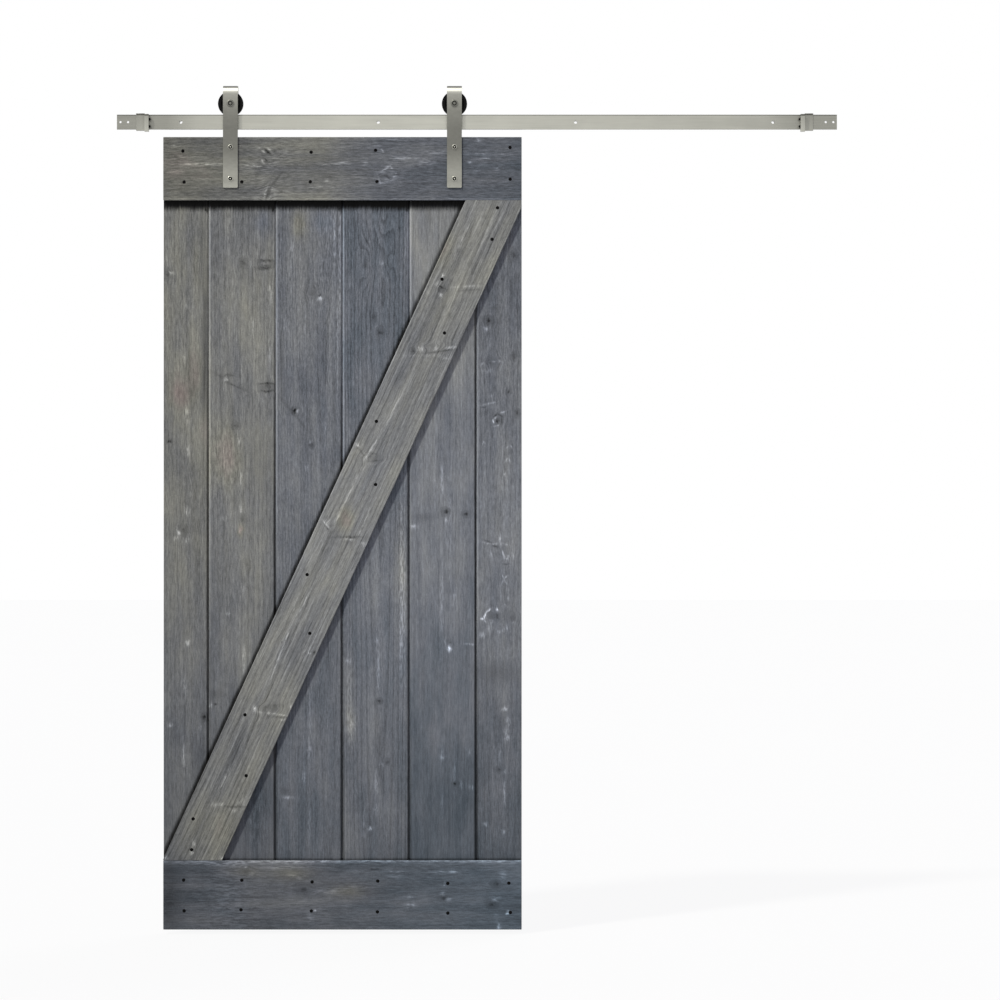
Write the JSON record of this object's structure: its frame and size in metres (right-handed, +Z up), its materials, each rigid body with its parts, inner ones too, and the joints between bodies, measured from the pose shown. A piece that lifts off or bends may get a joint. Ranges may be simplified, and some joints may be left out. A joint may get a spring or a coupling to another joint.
{
  "type": "sliding barn door",
  "caption": "Sliding plank barn door with cross boards and a diagonal brace, hung by bent-strap hangers on grooved wheels that roll along a flat wall-mounted rail with end stops.",
  "frame": {"origin": "middle of the wall face of the second wall spacer from the left, at the rail's mid-height", "axes": "+Z up, +X to the right along the rail, +Y into the wall, so the door's front faces -Y"},
  "size_m": [1.94, 0.0545, 2.2723],
  "materials": {
    "stained_pine": "grey-stained knotty pine, matt",
    "satin_nickel": "satin brushed",
    "black_nylon": "moulded, satin",
    "black_rubber": "matt",
    "black_iron": "black, satin"
  },
  "bodies": {
    "rail": {"track_rail": "satin_nickel", "wall_spacer_1": "satin_nickel", "wall_spacer_2": "satin_nickel", "wall_spacer_3": "satin_nickel", "wall_spacer_4": "satin_nickel", "left_end_stop": "satin_nickel", "right_end_stop": "satin_nickel", "left_stop_buffers": "black_rubber", "right_stop_buffers": "black_rubber"},
    "door": {"plank_1": "stained_pine", "plank_2": "stained_pine", "plank_3": "stained_pine", "plank_4": "stained_pine", "plank_5": "stained_pine", "plank_6": "stained_pine", "top_board": "stained_pine", "bottom_board": "stained_pine", "diagonal_brace": "stained_pine", "left_hanger_strap": "satin_nickel", "right_hanger_strap": "satin_nickel", "left_axle_bolt": "satin_nickel", "right_axle_bolt": "satin_nickel", "left_upper_bolt": "satin_nickel", "left_lower_bolt": "satin_nickel", "right_upper_bolt": "satin_nickel", "right_lower_bolt": "satin_nickel", "left_axle_nut": "black_iron", "right_axle_nut": "black_iron", "left_upper_sleeve_nut": "black_iron", "left_lower_sleeve_nut": "black_iron", "right_upper_sleeve_nut": "black_iron", "right_lower_sleeve_nut": "black_iron"},
    "left_wheel": {"left_wheel": "black_nylon"},
    "right_wheel": {"right_wheel": "black_nylon"}
  },
  "joints": [
    {"name": "door_slide", "type": "slide", "parent": "rail", "child": "door", "axis": [1, 0, 0], "range_m": [-0.19, 0.902]},
    {"name": "left_wheel_spin", "type": "hinge", "parent": "door", "child": "left_wheel", "pos_m": [-0.3975, -0.033, 0.0493], "axis": [0, 1, 0], "continuous": true},
    {"name": "right_wheel_spin", "type": "hinge", "parent": "door", "child": "right_wheel", "pos_m": [0.2055, -0.033, 0.0493], "axis": [0, 1, 0], "continuous": true}
  ],
  "couplings": [
    {"joint": "left_wheel_spin", "follows": "door_slide", "rad_per_m": 34.483},
    {"joint": "right_wheel_spin", "follows": "door_slide", "rad_per_m": 34.483}
  ]
}
